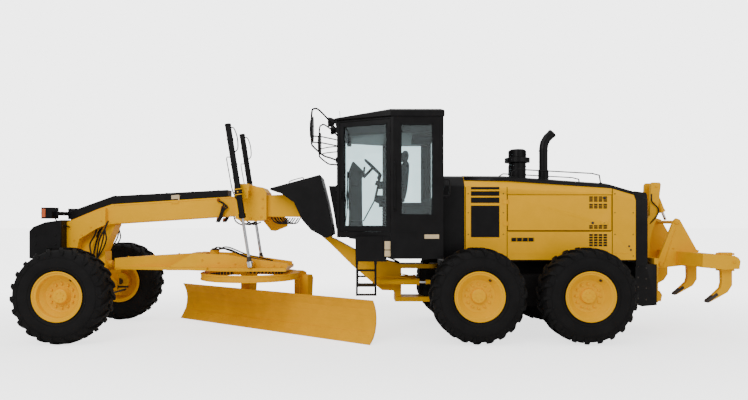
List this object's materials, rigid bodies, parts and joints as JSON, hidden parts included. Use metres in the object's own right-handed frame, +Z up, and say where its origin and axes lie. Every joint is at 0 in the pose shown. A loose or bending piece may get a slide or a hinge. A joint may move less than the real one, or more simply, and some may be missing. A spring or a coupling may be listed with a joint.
{
  "type": "motor grader",
  "caption": "Articulated motor grader with an arched front frame, drawbar, turning circle and moldboard, leaning steered front wheels, tandem drive, cab and rear ripper.",
  "frame": {"origin": "on the ground under the middle of the machine's bounding box", "axes": "+Y towards the rear, -Y the front, +X the machine's left side, +Z up"},
  "size_m": [2.505, 10.37, 3.3797],
  "materials": {
    "yellow": "semi-gloss machine paint",
    "black_paint": "satin",
    "tyre_rubber": "matt",
    "chrome": "polished",
    "iron": "oily cast",
    "trim": "matt",
    "clear_glass": "lightly tinted"
  },
  "bodies": {
    "chassis": {"rear_frame": "black_paint", "tandem_case_left": "black_paint", "tandem_case_right": "black_paint", "rear_bulkhead": "black_paint", "engine_hood": "yellow", "engine_block": "iron", "hood_rail_left": "iron", "hood_rail_right": "iron", "radiator_guard": "black_paint", "precleaner": "black_paint", "exhaust_stack": "iron", "cab_shell": "black_paint", "cab_roof": "black_paint", "operator_seat": "trim", "steering_console": "trim", "mirror_arm_left": "trim", "mirror_arm_right": "trim", "ripper_mount": "yellow"},
    "front": {"front_frame": "yellow", "hose_cover": "black_paint", "push_block": "black_paint", "headlights": "black_paint", "hydraulic_cover": "black_paint", "lift_saddle": "yellow", "front_axle": "yellow", "steer_barrel_left": "yellow", "steer_barrel_right": "yellow"},
    "drawbar": {"drawbar": "yellow"},
    "circle": {"circle": "yellow"},
    "blade_bracket": {"blade_bracket": "iron"},
    "moldboard": {"moldboard": "yellow"},
    "ripper": {"ripper_beam": "yellow"},
    "ripper_barrel": {"ripper_barrel": "yellow"},
    "ripper_rod": {"ripper_rod": "chrome"},
    "tie_rod": {"tie_rod": "iron"},
    "lean_bar": {"lean_bar": "yellow"},
    "lean_left": {"lean_carrier_left": "yellow"},
    "knuckle_left": {"knuckle_left": "iron"},
    "lift_barrel_left": {"lift_barrel_left": "black_paint"},
    "lift_rod_left": {"lift_rod_left": "chrome"},
    "cab_door_left": {"cab_door_left": "black_paint"},
    "engine_door_left": {"engine_door_left": "yellow"},
    "front_wheel_left": {"tyre_front_left": "tyre_rubber", "rim_front_left": "yellow"},
    "mid_wheel_left": {"tyre_mid_left": "tyre_rubber", "rim_mid_left": "yellow"},
    "rear_wheel_left": {"tyre_rear_left": "tyre_rubber", "rim_rear_left": "yellow"},
    "lean_right": {"lean_carrier_right": "yellow"},
    "knuckle_right": {"knuckle_right": "iron"},
    "lift_barrel_right": {"lift_barrel_right": "black_paint"},
    "lift_rod_right": {"lift_rod_right": "chrome"},
    "cab_door_right": {"cab_door_right": "black_paint"},
    "engine_door_right": {"engine_door_right": "yellow"},
    "front_wheel_right": {"tyre_front_right": "tyre_rubber", "rim_front_right": "yellow"},
    "mid_wheel_right": {"tyre_mid_right": "tyre_rubber", "rim_mid_right": "yellow"},
    "rear_wheel_right": {"tyre_rear_right": "tyre_rubber", "rim_rear_right": "yellow"}
  },
  "joints": [
    {"name": "articulation", "type": "hinge", "parent": "chassis", "child": "front", "pos_m": [0, 0.855, 0.76], "axis": [0, 0, 1], "range_deg": [-25, 25]},
    {"name": "mid_wheel_left_spin", "type": "hinge", "parent": "chassis", "child": "mid_wheel_left", "pos_m": [1.03, 1.4635, 0.674], "axis": [1, 0, 0], "continuous": true},
    {"name": "rear_wheel_left_spin", "type": "hinge", "parent": "chassis", "child": "rear_wheel_left", "pos_m": [1.03, 2.9885, 0.674], "axis": [1, 0, 0], "continuous": true},
    {"name": "mid_wheel_right_spin", "type": "hinge", "parent": "chassis", "child": "mid_wheel_right", "pos_m": [-1.03, 1.4635, 0.674], "axis": [1, 0, 0], "continuous": true},
    {"name": "rear_wheel_right_spin", "type": "hinge", "parent": "chassis", "child": "rear_wheel_right", "pos_m": [-1.03, 2.9885, 0.674], "axis": [1, 0, 0], "continuous": true},
    {"name": "wheel_lean_left", "type": "hinge", "parent": "front", "child": "lean_left", "pos_m": [0.66, -4.345, 0.62], "axis": [0, 1, 0], "range_deg": [-18, 18]},
    {"name": "wheel_lean_right", "type": "hinge", "parent": "front", "child": "lean_right", "pos_m": [-0.66, -4.345, 0.62], "axis": [0, 1, 0], "range_deg": [-18, 18]},
    {"name": "lean_bar_slide", "type": "slide", "parent": "front", "child": "lean_bar", "axis": [1, 0, 0], "range_m": [-0.12, 0.12]},
    {"name": "steering_left", "type": "hinge", "parent": "lean_left", "child": "knuckle_left", "pos_m": [0.705, -4.345, 0.674], "axis": [0, 0, 1], "range_deg": [-40, 40]},
    {"name": "steering_right", "type": "hinge", "parent": "lean_right", "child": "knuckle_right", "pos_m": [-0.705, -4.345, 0.674], "axis": [0, 0, 1], "range_deg": [-40, 40]},
    {"name": "tie_rod_slide", "type": "slide", "parent": "front", "child": "tie_rod", "axis": [1, 0, 0], "range_m": [-0.15, 0.15]},
    {"name": "front_wheel_left_spin", "type": "hinge", "parent": "knuckle_left", "child": "front_wheel_left", "pos_m": [1.03, -4.345, 0.674], "axis": [1, 0, 0], "continuous": true},
    {"name": "front_wheel_right_spin", "type": "hinge", "parent": "knuckle_right", "child": "front_wheel_right", "pos_m": [-1.03, -4.345, 0.674], "axis": [1, 0, 0], "continuous": true},
    {"name": "drawbar_lift", "type": "hinge", "parent": "front", "child": "drawbar", "pos_m": [0, -4.095, 1.055], "axis": [1, 0, 0], "range_deg": [-13, 11]},
    {"name": "lift_cylinder_left_swing", "type": "hinge", "parent": "front", "child": "lift_barrel_left", "pos_m": [0.52, -1.99997, 2.15], "axis": [1, 0, 0], "range_deg": [-12, 12]},
    {"name": "lift_cylinder_left_stroke", "type": "slide", "parent": "lift_barrel_left", "child": "lift_rod_left", "axis": [0, 0.1557, -0.9878], "range_m": [-0.6, 0.6]},
    {"name": "lift_cylinder_right_swing", "type": "hinge", "parent": "front", "child": "lift_barrel_right", "pos_m": [-0.52, -1.99997, 2.15], "axis": [1, 0, 0], "range_deg": [-12, 12]},
    {"name": "lift_cylinder_right_stroke", "type": "slide", "parent": "lift_barrel_right", "child": "lift_rod_right", "axis": [0, 0.1557, -0.9878], "range_m": [-0.6, 0.6]},
    {"name": "circle_turn", "type": "hinge", "parent": "drawbar", "child": "circle", "pos_m": [0, -1.911, 0.86], "axis": [0, 0, 1], "range_deg": [-90, 120]},
    {"name": "blade_pitch", "type": "hinge", "parent": "circle", "child": "blade_bracket", "pos_m": [-0.32925, -1.68386, 0.52], "axis": [0.5678, 0.8231, 0], "range_deg": [-4, 20]},
    {"name": "blade_side_shift", "type": "slide", "parent": "blade_bracket", "child": "moldboard", "axis": [0.5678, 0.8231, 0], "range_m": [-0.6, 0.6]},
    {"name": "ripper_lift", "type": "hinge", "parent": "chassis", "child": "ripper", "pos_m": [0, 4.415, 1.05], "axis": [1, 0, 0], "range_deg": [-30, 5]},
    {"name": "ripper_cylinder_swing", "type": "hinge", "parent": "chassis", "child": "ripper_barrel", "pos_m": [0, 4.435, 2.25], "axis": [1, 0, 0], "range_deg": [-30, 30]},
    {"name": "ripper_cylinder_stroke", "type": "slide", "parent": "ripper_barrel", "child": "ripper_rod", "axis": [0, 0.3714, -0.9285], "range_m": [-0.6, 0.6]},
    {"name": "cab_door_left_swing", "type": "hinge", "parent": "chassis", "child": "cab_door_left", "pos_m": [0.79786, 0.24906, 2.4], "axis": [0, 0, 1], "range_deg": [0, 80]},
    {"name": "cab_door_right_swing", "type": "hinge", "parent": "chassis", "child": "cab_door_right", "pos_m": [-0.79786, 0.24906, 2.4], "axis": [0, 0, 1], "range_deg": [-80, 0]},
    {"name": "engine_door_left_swing", "type": "hinge", "parent": "chassis", "child": "engine_door_left", "pos_m": [0.608, 1.998, 1.84], "axis": [0, 0, 1], "range_deg": [-80, 0]},
    {"name": "engine_door_right_swing", "type": "hinge", "parent": "chassis", "child": "engine_door_right", "pos_m": [-0.608, 1.998, 1.84], "axis": [0, 0, 1], "range_deg": [0, 80]}
  ],
  "couplings": [
    {"joint": "wheel_lean_right", "follows": "wheel_lean_left", "ratio": 1},
    {"joint": "lean_bar_slide", "follows": "wheel_lean_left", "m_per_rad": 0.335},
    {"joint": "steering_right", "follows": "steering_left", "ratio": 1},
    {"joint": "tie_rod_slide", "follows": "steering_left", "m_per_rad": -0.19},
    {"joint": "ripper_cylinder_swing", "follows": "ripper_lift", "ratio": -0.50479},
    {"joint": "ripper_cylinder_stroke", "follows": "ripper_lift", "m_per_rad": -0.59015},
    {"joint": "lift_cylinder_left_swing", "follows": "drawbar_lift", "ratio": 0.30532},
    {"joint": "lift_cylinder_left_stroke", "follows": "drawbar_lift", "m_per_rad": -2.2302},
    {"joint": "lift_cylinder_right_swing", "follows": "drawbar_lift", "ratio": 0.30532},
    {"joint": "lift_cylinder_right_stroke", "follows": "drawbar_lift", "m_per_rad": -2.2302}
  ]
}
